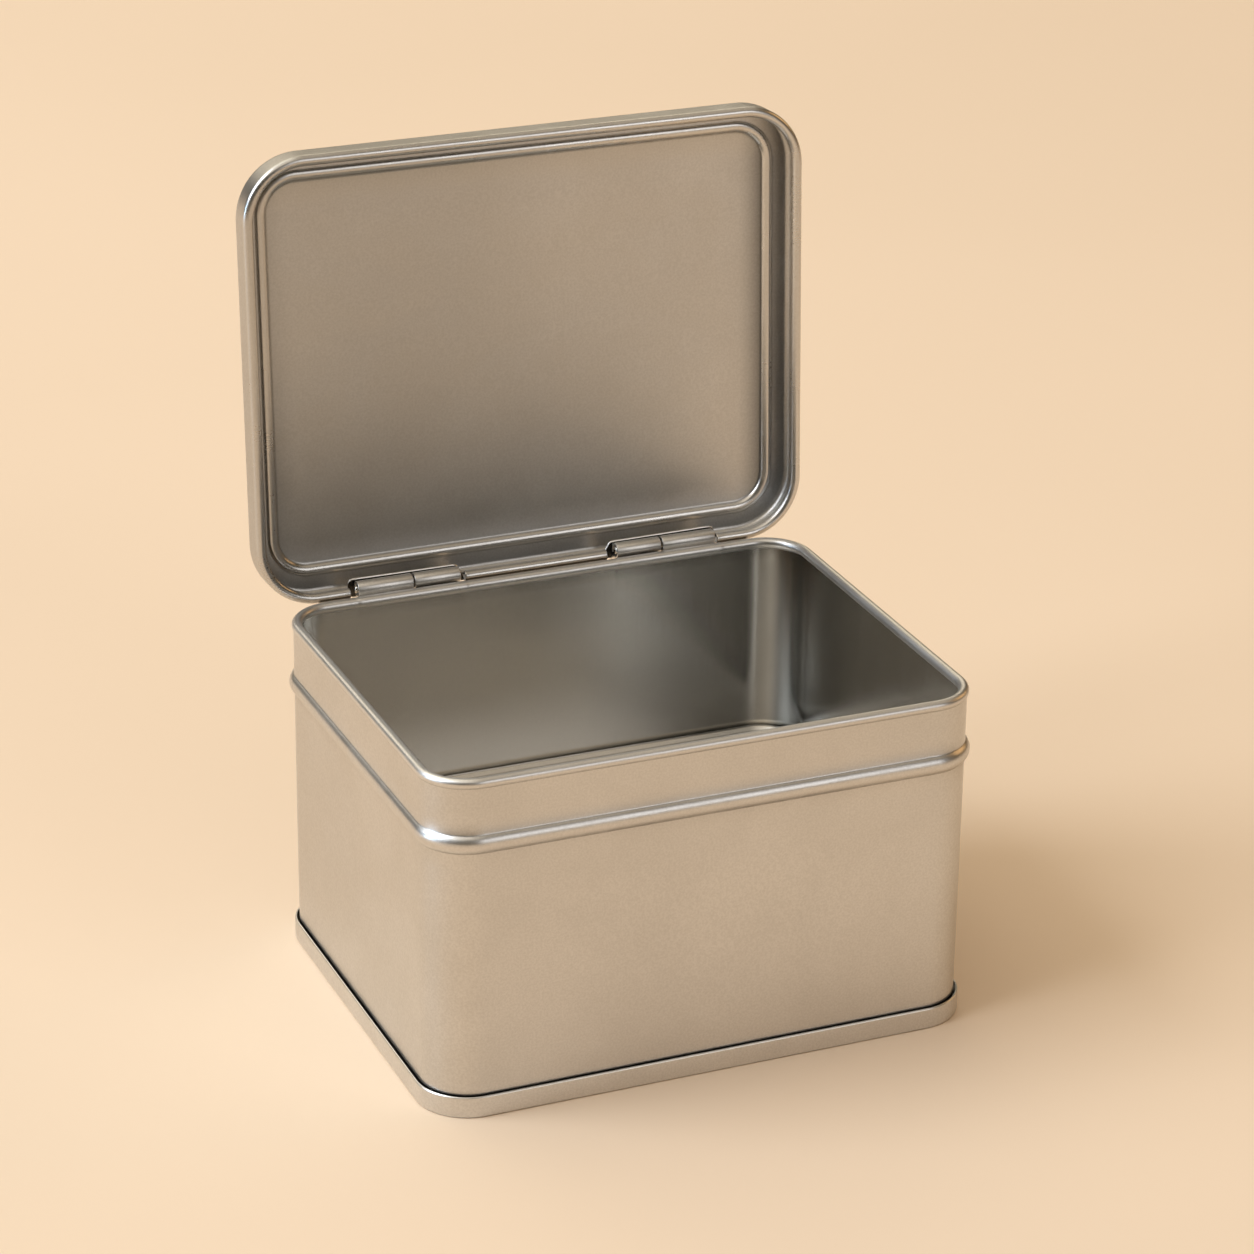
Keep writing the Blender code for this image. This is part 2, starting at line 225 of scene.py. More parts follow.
def sheet_piece(
    name, stations, profile, mat, middle=None, rings=0, crown=0.0, drop=None, shape=None,
    thickness=SHEET, edge=0.05 * MM, inside=None, painted_shade=None, painted_shade_in=None,
):
    """Sheet metal swept round the stations along an outer section line that runs up the
    outside. middle "first" or "last" says which end of the line goes on to a flat panel.
    drop(i, j) leaves faces out, shape(co, i, j) moves points of both faces of the sheet,
    and painted_shade(i, j) and painted_shade_in(i, j) say how dark the outer and inner face are painted, a painted
    shade.
    """
    anchors, normals, radius, centre = stations
    n, m = len(anchors), len(profile)
    bend = section_bend(profile)
    inner_line = offset_line(profile, thickness)
    if inside is not None:
        inner_line = [inside(u, z) for u, z in inner_line]
    bm = bmesh.new()
    bend_wear_and_shade = bm.verts.layers.float.new("bend")
    face = bm.verts.layers.float.new("inner_face")
    shade_paint = bm.verts.layers.float.new("painted_shade")
    twin = {}

    def pair(outer_co, inner_co, value):
        v, w = bm.verts.new(outer_co), bm.verts.new(inner_co)
        v[bend_wear_and_shade], w[bend_wear_and_shade] = value, -value
        v[face], w[face] = 0.0, 1.0
        twin[v] = w
        return v

    def place(i, j, line):
        u, z = line[j]
        x, y = anchors[i] + normals[i] * max(radius + u, 0.0)
        co = Vector((x, y, z))
        return shape(co, i, j) if shape is not None else co

    grid = [
        [pair(place(i, j, profile), place(i, j, inner_line), float(bend[j])) for i in range(n)]
        for j in range(m)
    ]
    if painted_shade is not None:
        for j in range(m):
            for i in range(n):
                grid[j][i][shade_paint] = painted_shade(i, j)
                if painted_shade_in is not None:
                    twin[grid[j][i]][shade_paint] = painted_shade_in(i, j)
    if inside is not None:
        for j, (u, z) in enumerate(offset_line(profile, thickness)):
            if inside(u, z) != (u, z):
                for v in grid[j]:
                    twin[v][bend_wear_and_shade] = 0.0
    faces = []
    for j in range(m - 1):
        for i in range(n):
            if drop is not None and drop(i, j):
                continue
            k = (i + 1) % n
            faces.append((grid[j][i], grid[j][k], grid[j + 1][k], grid[j + 1][i]))
    if middle:
        base = grid[-1] if middle == "last" else grid[0]
        z0 = base[0].co.z
        up = 1.0 if middle == "last" else -1.0
        sheet_z = Vector((0.0, 0.0, -up * thickness))
        outer = base
        for s in range(1, rings + 1):
            t = 1.0 - s / (rings + 1.0)
            row = []
            for i in range(n):
                x = centre[0] + (base[i].co.x - centre[0]) * t
                y = centre[1] + (base[i].co.y - centre[1]) * t
                co = Vector((x, y, z0 + crown * (1.0 - t * t) ** 2))
                row.append(pair(co, co + sheet_z, 0.0))
            for i in range(n):
                k = (i + 1) % n
                quad = (outer[i], outer[k], row[k], row[i])
                faces.append(quad if up > 0 else tuple(reversed(quad)))
            outer = row
        co = Vector((centre[0], centre[1], z0 + crown))
        tip = pair(co, co + sheet_z, 0.0)
        for i in range(n):
            k = (i + 1) % n
            tri = (outer[i], outer[k], tip)
            faces.append(tri if up > 0 else tuple(reversed(tri)))
    used = {}
    for loop in faces:
        bm.faces.new(loop)
        bm.faces.new([twin[v] for v in reversed(loop)])
        for v, w in zip(loop, loop[1:] + loop[:1]):
            used[(v, w)] = True
    weight = bm.edges.layers.float.new("bevel_weight_edge")
    for v, w in list(used):
        if (w, v) in used:
            continue
        bm.faces.new((w, v, twin[v], twin[w]))
        for ends in ((v, w), (twin[v], twin[w])):
            e = bm.edges.get(ends)
            e[weight] = 1.0
    loose = [v for v in bm.verts if not v.link_faces]
    bmesh.ops.delete(bm, geom=loose, context="VERTS")
    obj = new_object(name, bm, mat)
    if edge:
        soft = obj.modifiers.new("edge", "BEVEL")
        soft.width = edge
        soft.segments = 3
        soft.limit_method = "WEIGHT"
        soft.use_clamp_overlap = True
    return settle(obj)


# ------------------------------------------------------------------ materials
class Tree:
    """Short-hand for building a material's nodes."""

    def __init__(self, name):
        self.mat = bpy.data.materials.new(name)
        self.mat.use_nodes = True
        self.nodes = self.mat.node_tree.nodes
        self.links = self.mat.node_tree.links
        self.shader = self.nodes["Principled BSDF"]

    def node(self, kind, **values):
        node = self.nodes.new(kind)
        for key, value in values.items():
            if hasattr(node, key) and key not in node.inputs:
                setattr(node, key, value)
            else:
                node.inputs[key].default_value = value
        return node

    def link(self, a, b):
        self.links.new(a, b)

    def noise(self, vector, scale, detail=2.0, rough=0.5, distortion=0.0):
        node = self.nodes.new("ShaderNodeTexNoise")
        node.inputs["Scale"].default_value = scale
        node.inputs["Detail"].default_value = detail
        node.inputs["Roughness"].default_value = rough
        node.inputs["Distortion"].default_value = distortion
        self.link(vector, node.inputs["Vector"])
        return node.outputs["Fac"]

    def math(self, operation, a, b=None, c=None, clamp=False):
        node = self.nodes.new("ShaderNodeMath")
        node.operation = operation
        node.use_clamp = clamp
        for socket, value in zip(node.inputs, (a, b, c)):
            if value is None:
                continue
            if isinstance(value, (int, float)):
                socket.default_value = value
            else:
                self.link(value, socket)
        return node.outputs[0]

    def ramp(self, value, low, high, to_low=0.0, to_high=1.0, smooth=True):
        node = self.nodes.new("ShaderNodeMapRange")
        node.interpolation_type = "SMOOTHSTEP" if smooth else "LINEAR"
        node.inputs["From Min"].default_value = low
        node.inputs["From Max"].default_value = high
        node.inputs["To Min"].default_value = to_low
        node.inputs["To Max"].default_value = to_high
        self.link(value, node.inputs["Value"])
        return node.outputs["Result"]

    def mix(self, factor, a, b):
        node = self.nodes.new("ShaderNodeMix")
        node.data_type = "RGBA"
        if isinstance(factor, (int, float)):
            node.inputs[0].default_value = factor
        else:
            self.link(factor, node.inputs[0])
        for socket, value in ((node.inputs[6], a), (node.inputs[7], b)):
            if isinstance(value, tuple):
                socket.default_value = (*value, 1.0)
            else:
                self.link(value, socket)
        return node.outputs[2]

    def mapping(self, vector, scale=(1, 1, 1), rotation=(0, 0, 0), location=(0, 0, 0)):
        node = self.nodes.new("ShaderNodeMapping")
        node.inputs["Scale"].default_value = scale
        node.inputs["Rotation"].default_value = rotation
        node.inputs["Location"].default_value = location
        self.link(vector, node.inputs["Vector"])
        return node.outputs["Vector"]

    def bump(self, height, strength, distance, normal=None):
        node = self.nodes.new("ShaderNodeBump")
        if isinstance(strength, (int, float)):
            node.inputs["Strength"].default_value = strength
        else:
            self.link(strength, node.inputs["Strength"])
        node.inputs["Distance"].default_value = distance
        self.link(height, node.inputs["Height"])
        if normal is not None:
            self.link(normal, node.inputs["Normal"])
        return node.outputs["Normal"]


def tinplate(name, colour, dark, rough, offset, grain=1.0, scratch=1.0, bend_wear_and_shade=1.0, long=(1, 1, 0.05), inside=None, seam_grime_and_shade=None, gloss=0.05, side_shade=0.0):
    """Satin tinplate: a fine frosted grain, a soft blotchy gloss, hairline rub marks along
    one direction, convex bends painted lighter, partly as rubbed polish and partly as a
    painted highlight, and concave creases painted darker as painted shade. inside gives
    the colour and gloss change of the wall's inner face, which is smoother and is painted
    darker towards +X and in the corner at +X and +Y as painted shade, and
    seam_grime_and_shade the height below which the wall is painted near-black along the
    joint with the bottom rim, old grime and painted shade. Parts marked by the
    painted_shade attribute are painted near-black as painted shade. gloss is how much
    smoother the polished bends are, and side_shade how much darker the sheet is painted
    towards -X than towards +X, a painted shade."""
    t = Tree(name)
    place = t.nodes.new("ShaderNodeTexCoord").outputs["Object"]
    at = t.mapping(place, location=offset)
    within = None
    if inside is not None:
        part = t.nodes.new("ShaderNodeSeparateXYZ")
        t.link(place, part.inputs[0])
        low = t.math("LESS_THAN", part.outputs[2], BODY_Z - 2.6 * MM)
        side = t.node("ShaderNodeAttribute", attribute_name="inner_face").outputs["Fac"]
        within = t.math("MULTIPLY", t.math("GREATER_THAN", side, 0.5), low)
    blotch = t.noise(at, 75.0, 3.0, 0.55, 0.4)
    cloud = t.noise(at, 22.0, 2.0, 0.5)
    fine = t.noise(at, 2300.0, 3.0, 0.6)
    middle = t.noise(at, 620.0, 2.0, 0.5)
    hair = t.noise(t.mapping(at, scale=long), 2600.0, 2.0, 0.6)
    marks = t.noise(t.mapping(at, scale=(0.35, 1.0, 1.0), rotation=(0.5, 0.9, 0.4)), 900.0, 3.0, 0.6, 1.5)
    bend = t.node("ShaderNodeAttribute", attribute_name="bend").outputs["Fac"]
    polish_and_sheen = t.ramp(bend, 90.0, 900.0, 0.0, bend_wear_and_shade)
    crease_shade = t.ramp(t.math("MULTIPLY", bend, -1.0), 120.0, 2200.0, 0.0, bend_wear_and_shade)
    scuff = t.ramp(marks, 0.66, 0.76, 0.0, 0.5 * scratch)

    tone = t.math("ADD", t.math("MULTIPLY", blotch, 0.55), t.math("MULTIPLY", cloud, 0.45))
    tone = t.ramp(tone, 0.34, 0.66)
    light = tuple(min(1.0, c * 1.035) for c in colour)
    low = tuple(c * 0.955 for c in colour)
    base = t.mix(tone, low, light)
    base = t.mix(t.ramp(fine, 0.3, 0.7, 0.0, 0.20 * grain), base, dark)
    # convex bends painted lighter: partly rubbed polish, partly a painted highlight
    base = t.mix(t.math("MULTIPLY", polish_and_sheen, 0.35), base, tuple(min(1.0, c * 1.12) for c in colour))
    # concave bends painted darker: a painted shade in the creases
    base = t.mix(t.math("MULTIPLY", crease_shade, 0.35), base, dark)
    # the -X side of the sheet is painted darker: a painted shade
    if side_shade:
        across = t.nodes.new("ShaderNodeSeparateXYZ")
        t.link(place, across.inputs[0])
        drift = t.math("ADD", across.outputs[0], t.math("MULTIPLY", t.math("SUBTRACT", cloud, 0.5), 0.03))
        side_shade_mask = t.math("MULTIPLY", t.ramp(drift, 0.052, -0.03), t.ramp(blotch, 0.2, 0.8, 0.92, 1.0))
        shade = t.mix(side_shade_mask, (1.0, 1.0, 1.0), (1 - side_shade, 1 - side_shade, 1 - side_shade))
        scaled = t.nodes.new("ShaderNodeMix")
        scaled.data_type = "RGBA"
        scaled.blend_type = "MULTIPLY"
        scaled.inputs[0].default_value = 1.0
        t.link(base, scaled.inputs[6])
        t.link(shade, scaled.inputs[7])
        base = scaled.outputs[2]
    if within is not None:
        inner = t.mix(tone, tuple(c * 0.97 for c in inside[0]), inside[0])
        inner = t.mix(t.ramp(fine, 0.3, 0.7, 0.0, 0.06 * grain), inner, dark)
        # the inner face is painted darker towards +X and in the corner at +X and +Y: a painted shade
        drift = t.math("ADD", part.outputs[0], t.math("MULTIPLY", t.math("SUBTRACT", cloud, 0.5), 0.004))
        inner_shade = t.math("MULTIPLY", t.ramp(drift, 0.0, 0.040, 0.0, 0.35), t.ramp(drift, 0.0445, 0.0478, 1.0, 0.0))
        inner_shade = t.math("ADD", inner_shade, t.ramp(part.outputs[0], 0.0507, 0.0530, 0.0, 0.44))
        corner_shade = t.math("MULTIPLY", t.ramp(part.outputs[0], 0.0500, 0.0520), t.ramp(part.outputs[1], 0.004, 0.032, 0.0, 0.44))
        inner_shade = t.math("ADD", inner_shade, corner_shade)
        inner = t.mix(inner_shade, inner, (0.10, 0.105, 0.10))
        base = t.mix(within, base, inner)
    if seam_grime_and_shade is not None:
        # the wall just above the bottom rim's lip is painted near-black: old grime and painted shade in the joint
        height = t.nodes.new("ShaderNodeSeparateXYZ")
        t.link(place, height.inputs[0])
        shade_paint = t.ramp(height.outputs[2], seam_grime_and_shade, seam_grime_and_shade - 0.25 * MM)
        base = t.mix(t.math("MULTIPLY", shade_paint, 0.88), base, (0.02, 0.018, 0.015))
    # parts marked by the painted_shade attribute are painted near-black: a painted shade
    painted_shade = t.node("ShaderNodeAttribute", attribute_name="painted_shade").outputs["Fac"]
    base = t.mix(t.math("MULTIPLY", painted_shade, 0.95), base, (0.02, 0.018, 0.015))
    t.link(base, t.shader.inputs["Base Color"])

    r = t.ramp(blotch, 0.3, 0.7, rough - 0.018, rough + 0.022)
    if within is not None:
        r = t.math("ADD", r, t.math("MULTIPLY", within, inside[1] - rough))
    r = t.math("ADD", r, t.ramp(hair, 0.35, 0.65, -0.012, 0.012))
    r = t.math("SUBTRACT", r, t.math("MULTIPLY", polish_and_sheen, gloss))
    r = t.math("ADD", r, t.math("MULTIPLY", scuff, 0.06))
    r = t.math("ADD", r, t.math("MULTIPLY", crease_shade, 0.08), clamp=True)
    t.link(r, t.shader.inputs["Roughness"])
    t.shader.inputs["Metallic"].default_value = 1.0

    plain = t.math("SUBTRACT", 1.0, t.math("MULTIPLY", polish_and_sheen, 0.8), clamp=True)
    if within is not None:
        plain = t.math("MULTIPLY", plain, t.math("SUBTRACT", 1.0, t.math("MULTIPLY", within, 0.85)))
    normal = t.bump(fine, t.math("MULTIPLY", plain, 0.22 * grain), 0.00002)
    normal = t.bump(middle, t.math("MULTIPLY", plain, 0.10 * grain), 0.00003, normal)
    normal = t.bump(hair, t.math("MULTIPLY", plain, 0.05 * scratch), 0.00002, normal)
    normal = t.bump(cloud, 0.25, 0.00010, normal)
    t.link(normal, t.shader.inputs["Normal"])
    return t.mat


METAL = (0.655, 0.645, 0.63)
DARK = (0.30, 0.285, 0.265)
INNER = (0.725, 0.7, 0.66)
# the wall's inner face and its joint with the bottom rim carry painted shade
BODY_MAT = tinplate("satin_body", METAL, DARK, 0.33, (0.0, 0.0, 0.0), inside=(INNER, 0.22), seam_grime_and_shade=4.52 * MM, gloss=-0.05)
BASE_MAT = tinplate("satin_base", (0.71, 0.70, 0.685), DARK, 0.34, (0.31, 0.11, 0.07), long=(0.05, 1, 1), gloss=0.03)
FLOOR_MAT = tinplate("satin_floor", (0.72, 0.70, 0.66), DARK, 0.42, (0.21, 0.33, 0.17), grain=0.4, scratch=0.4, long=(0.05, 1, 1))
# the lid is painted darker towards -X, a painted shade
LID_MAT = tinplate("satin_lid", (0.63, 0.618, 0.6), DARK, 0.37, (0.11, 0.27, 0.4), long=(0.05, 1, 1), gloss=0.08, side_shade=0.16)
HINGE_MAT = tinplate("hinge_strip", (0.70, 0.685, 0.66), (0.24, 0.22, 0.2), 0.36, (0.4, 0.2, 0.3), grain=0.7, scratch=1.4, long=(0.05, 1, 1))
# the cut edge gets a lighter colour than the lid's sheet: a painted highlight
LIGHTENED_EDGE_MAT = tinplate("cut_edge_painted_highlight", (0.86, 0.85, 0.83), DARK, 0.30, (0.2, 0.6, 0.5), grain=0.4, scratch=0.6)
PIN_MAT = tinplate("pin_wire", (0.66, 0.65, 0.62), (0.2, 0.19, 0.18), 0.2, (0.1, 0.5, 0.2), grain=0.5, scratch=1.2, long=(0.05, 1, 1))


# ------------------------------------------------------------------ body wall
def wall_profile():
    zt = BODY_Z - RIM_TUBE
    lower = fillet(
        [
            (0.0, 0.78 * MM, 0),
            (0.0, BEAD_Z - BEAD_HALF - 0.12 * MM, 0),
        ]
    )
    lower = densify(lower, 3.5 * MM)
    bead_r = (BEAD_HALF**2 + BEAD_OUT**2) / (2 * BEAD_OUT)
    turn = math.degrees(math.asin(BEAD_HALF / bead_r))
    lower += arc(BEAD_OUT - bead_r, BEAD_Z, bead_r, -turn + 3, turn - 3, 20)
    lower += [(0.0, BEAD_Z + BEAD_HALF + 0.12 * MM), (0.0, BODY_Z - 2.2 * MM)]
    rf = 0.3 * MM
    dz = math.sqrt((RIM_TUBE + rf) ** 2 - (rf + RIM_INSET) ** 2)
    meet = math.degrees(math.atan2(dz, rf + RIM_INSET))
    lower = densify(lower[:-1] + [(0.0, zt - dz)], 3.5 * MM)
    return (
        lower
        + arc(rf, zt - dz, rf, 180, 180 - meet, 4)[1:]
        + arc(-RIM_INSET, zt, RIM_TUBE, -meet, 262, 34)[1:]
    )


def wall_shape(stations):
    """Slight flexing of the flat walls, and the rim swollen where a hinge leaf lies in it."""
    zt = BODY_Z - RIM_TUBE

    def shape(co, i, j):
        x, y, z = co
        if z > zt - 1.2 * MM and y > 0:
            span = abs(x)
            over = min(span - (HINGE_IN - 0.6 * MM), (HINGE_OUT + 0.7 * MM) - span)
            w = max(0.0, min(1.0, 0.5 + over / (0.9 * MM)))
            w = w * w * (3 - 2 * w)
            if w > 0:
                cy, cz = BODY_Y / 2 - RIM_INSET, zt
                dy, dz = y - cy, z - cz
                d = math.hypot(dy, dz)
                if abs(d - RIM_TUBE) < 0.25 * MM:
                    k = (d + 0.10 * MM * w) / d
                    y, z = cy + dy * k, min(cz + dz * k, BODY_Z)
        flat = math.sin(math.pi * min(1.0, max(0.0, (z - 4 * MM) / (51 * MM)))) if z < 55 * MM else 0.0
        if flat > 0:
            nx = max(0.0, math.cos(math.pi * x / BODY_X))
            ny = max(0.0, math.cos(math.pi * y / BODY_Y))
            if abs(abs(y) - BODY_Y / 2) < 0.6 * MM:
                y += math.copysign(0.10 * MM, y) * flat * nx * (1 + 0.6 * math.sin(60 * x + 40 * z))
            elif abs(abs(x) - BODY_X / 2) < 0.6 * MM:
                x += math.copysign(0.09 * MM, x) * flat * ny * (1 + 0.6 * math.sin(70 * y - 50 * z))
        return Vector((x, y, z))

    return shape


hinge_cols = []
for s in (-1, 1):
    for c in (HINGE_IN - 0.6 * MM, HINGE_OUT + 0.7 * MM):
        hinge_cols += [s * (c + d * MM) for d in (-0.6, -0.4, -0.2, 0.0, 0.2, 0.4, 0.6)]
wall_xs = sorted(
    set(
        [round(x, 7) for x in np.linspace(-45.5 * MM, 45.5 * MM, 24)]
        + [round(x, 7) for x in hinge_cols]
    )
)
wall_xs = [wall_xs[0]] + [b for a, b in zip(wall_xs, wall_xs[1:]) if b - a > 0.15 * MM]
body_ring = ring(BODY_X, BODY_Y, BODY_R, back_xs=wall_xs)
wall = sheet_piece(
    "wall_sheet", body_ring, wall_profile(), BODY_MAT, shape=wall_shape(body_ring),
    inside=lambda u, z: (-SHEET, z) if abs(z - BEAD_Z) < 3.2 * MM else (u, z),
)
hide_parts("body_wall")
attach(wall, "body")

# ------------------------------------------------------------------ bottom
bottom_line = fillet(
    [
        (-9.2 * MM, PANEL_Z, 0),
        (-7.3 * MM, PANEL_Z, 0.9 * MM),
        (-6.3 * MM, PANEL_Z + 0.6 * MM, 0.8 * MM),
        (-4.1 * MM, PANEL_Z + 0.6 * MM, 0.8 * MM),
        (-3.1 * MM, PANEL_Z, 0.9 * MM),
        (-1.25 * MM, PANEL_Z, 0.35 * MM),
        (-0.95 * MM, 0.0, 0.32 * MM),
        (SEAM_OUT, 0.0, 0.42 * MM),
        (SEAM_OUT, SEAM_Z, 0.30 * MM),
        (SEAM_OUT - 0.32 * MM, SEAM_Z - 0.015 * MM, 0),
    ]
)
bottom = sheet_piece(
    "bottom_sheet", ring(BODY_X, BODY_Y, BODY_R), densify(bottom_line, 2.5 * MM), BASE_MAT,
    middle="first", rings=9, crown=0.15 * MM,
)
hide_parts("bottom_panel")
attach(bottom, "body")

# ------------------------------------------------------------------ raised floor
floor_line = fillet(
    [
        (-1.7 * MM, 1.52 * MM, 0),
        (-0.7 * MM, 26.4 * MM, 0.0),
        (-0.68 * MM, FLOOR_Z, 0.85 * MM),
        (-2.2 * MM, FLOOR_Z, 0.6 * MM),
        (-2.9 * MM, FLOOR_Z - 0.72 * MM, 0.6 * MM),
        (-4.6 * MM, FLOOR_Z - 0.72 * MM, 0),
    ]
)
raised = sheet_piece(
    "raised_floor_sheet", ring(BODY_X, BODY_Y, BODY_R), densify(floor_line, 3.0 * MM), FLOOR_MAT,
    middle="last", rings=9, crown=-0.12 * MM,
)
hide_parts("raised_floor")
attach(raised, "body")

# ------------------------------------------------------------------ lid
lid_place = Matrix.Translation((0.0, AXIS_Y, AXIS_Z)) @ Matrix.Rotation(OPEN, 4, "X")


def lid_profile():
    """Curl, upright skirt, small corner, flat ledge, a rib pressed inwards and the panel."""
    top = LID_DEPTH
    notch = [NOTCH_TOP - NOTCH_R + NOTCH_R * math.sin(math.radians(15 * k)) for k in range(7)]
    skirt = sorted([0.7 * MM, 1.5 * MM, 2.3 * MM, 3.0 * MM] + notch)
    skirt = [z for z in skirt if z < LID_DEPTH - LID_CORNER - 0.01 * MM]
    u1 = LID_RIB_U
    rest = fillet([(LID_TUBE, skirt[-1], 0), (LID_TUBE, top, LID_CORNER), (u1 + 1.35 * MM, top, 0)], 8.0)
    crest = arc(u1, top + 0.6 * MM, 1.1 * MM, -36, -160, 16)
    slope = fillet(
        [(*crest[-1], 0), (u1 - 1.5 * MM, top + 0.42 * MM, 0.5 * MM), (u1 - 2.0 * MM, top + 0.467 * MM, 0)], 8.0
    )
    for k in range(1, 17):
        away = 4.3 * MM * k / 16
        slope.append((u1 - 2.0 * MM - away, top + 0.717 * MM - 0.25 * MM * (1 - k / 16) ** 2))
    rest = rest + crest + slope[1:]
    return arc(0.0, 0.0, LID_TUBE, 95, 360, 34) + [(LID_TUBE, z) for z in skirt] + densify(rest, 1.2 * MM)[1:]


lid_line = [(u, z + LID_LIFT) for u, z in lid_profile()]
ax = LID_X / 2 - LID_R
lid_xs = set()
for s in (-1, 1):
    for edge, inward in ((NOTCH_IN, 1), (NOTCH_OUT, -1)):
        for d in (-2.6, -1.7, -1.1, -0.7, -0.4, -0.2, 0.0, 1.1, 2.2):
            lid_xs.add(round(s * (edge + inward * d * MM), 7))
lid_xs |= {round(x, 7) for x in (-ax, ax)}
for x in np.linspace(-ax, ax, 25):
    if min(abs(x - k) for k in lid_xs) > 1.5 * MM:
        lid_xs.add(round(float(x), 7))
lid_xs = sorted(lid_xs)
lid_ring = ring(LID_X, LID_Y, LID_R, corner=28, back_xs=lid_xs, cy=LID_REAR - LID_Y / 2)
lid_anchor, lid_normal = lid_ring[0], lid_ring[1]
top_row = min(range(len(lid_line)), key=lambda j: abs(lid_line[j][1] - (LID_LIFT + NOTCH_TOP)) if lid_line[j][0] > -4 * MM and j > 36 else 9)


def on_back(i):
    return lid_normal[i][1] > 0.999


def in_notch(i):
    k = (i + 1) % len(lid_anchor)
    if not (on_back(i) and on_back(k)):
        return False
    mid = abs(lid_anchor[i][0] + lid_anchor[k][0]) / 2
    return NOTCH_IN < mid < NOTCH_OUT


def lid_shape(co, i, j):
    x, y, z = co
    if on_back(i):
        for edge, inward in ((NOTCH_IN, 1), (NOTCH_OUT, -1)):
            if abs(abs(x) - edge) < 1e-6:
                level = z - LID_LIFT - (NOTCH_TOP - NOTCH_R)
                if j <= top_row and level > 0:
                    move = NOTCH_R - math.sqrt(max(0.0, NOTCH_R**2 - level**2))
                elif j > top_row:
                    move = NOTCH_R * max(0.0, 1 - (j - top_row) / 6.0)
                else:
                    move = 0.0
                x += math.copysign(inward * move, x)
            # the cut ends of the rolled rim flare a little
            away = (edge - abs(co.x)) * inward
            if 0 <= away < 1.2 * MM and z < LID_LIFT + LID_TUBE + 0.2 * MM and j < 36:
                w = (1 - away / (1.2 * MM)) ** 2
                cy, cz = LID_REAR, LID_LIFT
                y = cy + (y - cy) * (1 + 0.09 * w)
                z = cz + (z - cz) * (1 + 0.09 * w)
    return Vector((x, y, z))


def lid_painted_shade(i, j):
    """Painted shade: the rear curl painted dark where it lies beside the body's rim with the lid open."""
    turn = 95 + 265 * j / 34
    if j > 34 or not on_back(i):
        return 0.0
    return max(0.0, min(1.0, (turn - 274) / 10)) * max(0.0, min(1.0, (350 - turn) / 12))


def lid_painted_shade_in(i, j):
    """Painted shade beside the rib on the inner panel, strongest on the side at +X."""
    away = LID_RIB_U - 1.0 * MM - lid_line[j][0]
    if away < 0:
        return 0.0
    side = max(0.0, float(lid_normal[i][0]))
    return (0.15 + 0.60 * side**2) * max(0.0, 1.0 - away / (6.8 * MM)) ** 2


lid = sheet_piece(
    "lid_sheet", lid_ring, lid_line, LID_MAT, middle="last", rings=12, crown=0.22 * MM,
    drop=lambda i, j: j < top_row and in_notch(i), shape=lid_shape, painted_shade=lid_painted_shade, painted_shade_in=lid_painted_shade_in,
)
lid.data.transform(lid_place)
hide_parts("lid_shell")
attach(lid, "lid")


# ------------------------------------------------------------------ hinges
def strip_piece(name, runs, place, mat, thickness=LEAF, edge=0.11 * MM, shaded_at=None):
    """A bent strip: each run is a list of (y, z) points and two x limits, and runs that
    share a row of points are one sheet. The strip is thickened about its middle."""
    bm = bmesh.new()
    for points, x0, x1 in runs:
        cols = [x0, x1]
        rows = [[bm.verts.new((x, y, z)) for y, z in points] for x in cols]
        for a, b in zip(rows, rows[1:]):
            for k in range(len(points) - 1):
                bm.faces.new((a[k], b[k], b[k + 1], a[k + 1]))
    bmesh.ops.remove_doubles(bm, verts=bm.verts, dist=0.000005)
    bmesh.ops.recalc_face_normals(bm, faces=bm.faces)
    mark_free_edges(bm)
    obj = new_object(name, bm, mat)
    solid = obj.modifiers.new("strip", "SOLIDIFY")
    solid.thickness = thickness
    solid.offset = 0.0
    solid.use_even_offset = True
    solid.use_rim = True
    soft = obj.modifiers.new("edge", "BEVEL")
    soft.width = edge
    soft.segments = 3
    soft.limit_method = "WEIGHT"
    settle(obj, 35.0)
    bend = obj.data.attributes.new("bend", "FLOAT", "POINT")
    bend.data.foreach_set("value", np.full(len(obj.data.vertices), 60.0, np.float32))
    # painted_shade marks where the strip is painted dark: a painted shadow
    painted_shade = obj.data.attributes.new("painted_shade", "FLOAT", "POINT")
    painted_shade.data.foreach_set("value", [float(shaded_at(v.co)) if shaded_at else 0.0 for v in obj.data.vertices])
    obj.data.transform(place)
    return obj


roll = KNUCKLE_R - LEAF / 2
foot = (BODY_Y / 2 - AXIS_Y) + 0.6 * MM
axis_place = Matrix.Translation((0.0, AXIS_Y, AXIS_Z))


def circle_run(first, last, step):
    n = int(round(abs(last - first) / step))
    return [
        (
            roll * math.cos(math.radians(first + (last - first) * k / n)),
            roll * math.sin(math.radians(first + (last - first) * k / n)),
        )
        for k in range(n + 1)
    ]


